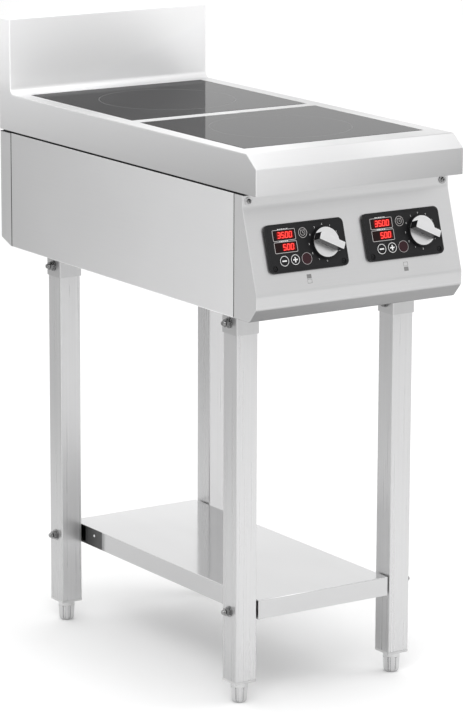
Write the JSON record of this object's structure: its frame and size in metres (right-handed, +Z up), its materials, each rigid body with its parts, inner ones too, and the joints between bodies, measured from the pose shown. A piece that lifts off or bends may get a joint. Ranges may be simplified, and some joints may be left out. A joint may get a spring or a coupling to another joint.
{
  "type": "electric induction cooktop",
  "caption": "Free-standing stainless induction cooktop on an open leg stand, with glass cooking zones in line, knob and key controls on a sloped front, a splashback and a low shelf.",
  "frame": {"origin": "on the floor, under the centre of the overall bounding box", "axes": "+Z up; +Y from the controls towards the splashback; +X towards the cook's right"},
  "size_m": [0.4, 0.813, 1.05],
  "materials": {
    "worktop_steel": "satin stainless, grain front to back",
    "body_steel": "satin stainless",
    "fascia_steel": "satin stainless",
    "shelf_steel": "polished stainless",
    "leg_steel": "satin stainless",
    "bolt_steel": "zinc plated",
    "foot_steel": "bright turned steel",
    "shaft_steel": "plain turned steel",
    "ceramic_glass": "polished, opaque dark grey glass-ceramic",
    "silicone": "matte grey silicone",
    "coil_copper": "enamelled copper",
    "carrier_plastic": "matte black",
    "tray_aluminium": "mill finish",
    "gland_plastic": "matte dark grey nylon",
    "terminal_plastic": "matte cream",
    "bezel_plastic": "fine matte black",
    "lens_plastic": "dark red filter",
    "key_plastic": "matte black with white signs",
    "knob_plastic": "satin black",
    "knob_silver": "satin silver",
    "circuit_board": "green board with parts",
    "sink_aluminium": "extruded, raw",
    "fan_plastic": "matte black"
  },
  "bodies": {
    "cooktop": {"bezel_left": "bezel_plastic", "bezel_right": "bezel_plastic", "cable_gland": "gland_plastic", "chassis": "body_steel", "coil_carrier_front": "carrier_plastic", "coil_carrier_rear": "carrier_plastic", "coil_front": "coil_copper", "coil_rear": "coil_copper", "coil_tray": "tray_aluminium", "control_board_left": "circuit_board", "control_board_right": "circuit_board", "control_fascia": "fascia_steel", "display_lens_left": "lens_plastic", "display_lens_right": "lens_plastic", "fan_frame_left": "fan_plastic", "fan_frame_right": "fan_plastic", "gasket_front": "silicone", "gasket_rear": "silicone", "glass_front": "ceramic_glass", "glass_rear": "ceramic_glass", "heat_sink_left": "sink_aluminium", "heat_sink_right": "sink_aluminium", "leg_bolt_front_left": "bolt_steel", "leg_bolt_front_right": "bolt_steel", "leg_bolt_rear_left": "bolt_steel", "leg_bolt_rear_right": "bolt_steel", "leg_front_left": "leg_steel", "leg_front_right": "leg_steel", "leg_rear_left": "leg_steel", "leg_rear_right": "leg_steel", "power_board_left": "circuit_board", "power_board_right": "circuit_board", "rear_panel": "body_steel", "shelf": "shelf_steel", "shelf_bolt_front_left": "bolt_steel", "shelf_bolt_front_right": "bolt_steel", "shelf_bolt_rear_left": "bolt_steel", "shelf_bolt_rear_right": "bolt_steel", "terminal_block": "terminal_plastic", "worktop": "worktop_steel"},
    "knob_left": {"knob_body_left": "knob_plastic", "knob_face_left": "knob_silver", "knob_inlay_left": "knob_silver", "encoder_shaft_left": "shaft_steel"},
    "timer_key_left": {"timer_key_left": "key_plastic"},
    "minus_key_left": {"minus_key_left": "key_plastic"},
    "plus_key_left": {"plus_key_left": "key_plastic"},
    "knob_right": {"knob_body_right": "knob_plastic", "knob_face_right": "knob_silver", "knob_inlay_right": "knob_silver", "encoder_shaft_right": "shaft_steel"},
    "timer_key_right": {"timer_key_right": "key_plastic"},
    "minus_key_right": {"minus_key_right": "key_plastic"},
    "plus_key_right": {"plus_key_right": "key_plastic"},
    "fan_rotor_left": {"fan_rotor_left": "fan_plastic"},
    "fan_rotor_right": {"fan_rotor_right": "fan_plastic"},
    "foot_front_left": {"foot_front_left": "foot_steel"},
    "foot_front_right": {"foot_front_right": "foot_steel"},
    "foot_rear_left": {"foot_rear_left": "foot_steel"},
    "foot_rear_right": {"foot_rear_right": "foot_steel"}
  },
  "joints": [
    {"name": "knob_turn_left", "type": "hinge", "parent": "cooktop", "child": "knob_left", "pos_m": [-0.0595, -0.3745, 0.7674], "axis": [0, -0.9559, 0.2938], "range_deg": [-153, 87]},
    {"name": "timer_press_left", "type": "slide", "parent": "cooktop", "child": "timer_key_left", "axis": [0, 0.9559, -0.2938], "range_m": [0, 0.0005], "stiffness_N_per_m": 3000},
    {"name": "minus_press_left", "type": "slide", "parent": "cooktop", "child": "minus_key_left", "axis": [0, 0.9559, -0.2938], "range_m": [0, 0.0005], "stiffness_N_per_m": 3000},
    {"name": "plus_press_left", "type": "slide", "parent": "cooktop", "child": "plus_key_left", "axis": [0, 0.9559, -0.2938], "range_m": [0, 0.0005], "stiffness_N_per_m": 3000},
    {"name": "knob_turn_right", "type": "hinge", "parent": "cooktop", "child": "knob_right", "pos_m": [0.1275, -0.3745, 0.7674], "axis": [0, -0.9559, 0.2938], "range_deg": [-153, 87]},
    {"name": "timer_press_right", "type": "slide", "parent": "cooktop", "child": "timer_key_right", "axis": [0, 0.9559, -0.2938], "range_m": [0, 0.0005], "stiffness_N_per_m": 3000},
    {"name": "minus_press_right", "type": "slide", "parent": "cooktop", "child": "minus_key_right", "axis": [0, 0.9559, -0.2938], "range_m": [0, 0.0005], "stiffness_N_per_m": 3000},
    {"name": "plus_press_right", "type": "slide", "parent": "cooktop", "child": "plus_key_right", "axis": [0, 0.9559, -0.2938], "range_m": [0, 0.0005], "stiffness_N_per_m": 3000},
    {"name": "fan_spin_left", "type": "hinge", "parent": "cooktop", "child": "fan_rotor_left", "pos_m": [-0.097, -0.21853, 0.67], "axis": [0, 0, 1], "continuous": true},
    {"name": "fan_spin_right", "type": "hinge", "parent": "cooktop", "child": "fan_rotor_right", "pos_m": [0.097, -0.21853, 0.67], "axis": [0, 0, 1], "continuous": true},
    {"name": "foot_level_front_left", "type": "slide", "parent": "cooktop", "child": "foot_front_left", "axis": [0, 0, -1], "range_m": [0, 0.02]},
    {"name": "foot_level_front_right", "type": "slide", "parent": "cooktop", "child": "foot_front_right", "axis": [0, 0, -1], "range_m": [0, 0.02]},
    {"name": "foot_level_rear_left", "type": "slide", "parent": "cooktop", "child": "foot_rear_left", "axis": [0, 0, -1], "range_m": [0, 0.02]},
    {"name": "foot_level_rear_right", "type": "slide", "parent": "cooktop", "child": "foot_rear_right", "axis": [0, 0, -1], "range_m": [0, 0.02]}
  ]
}
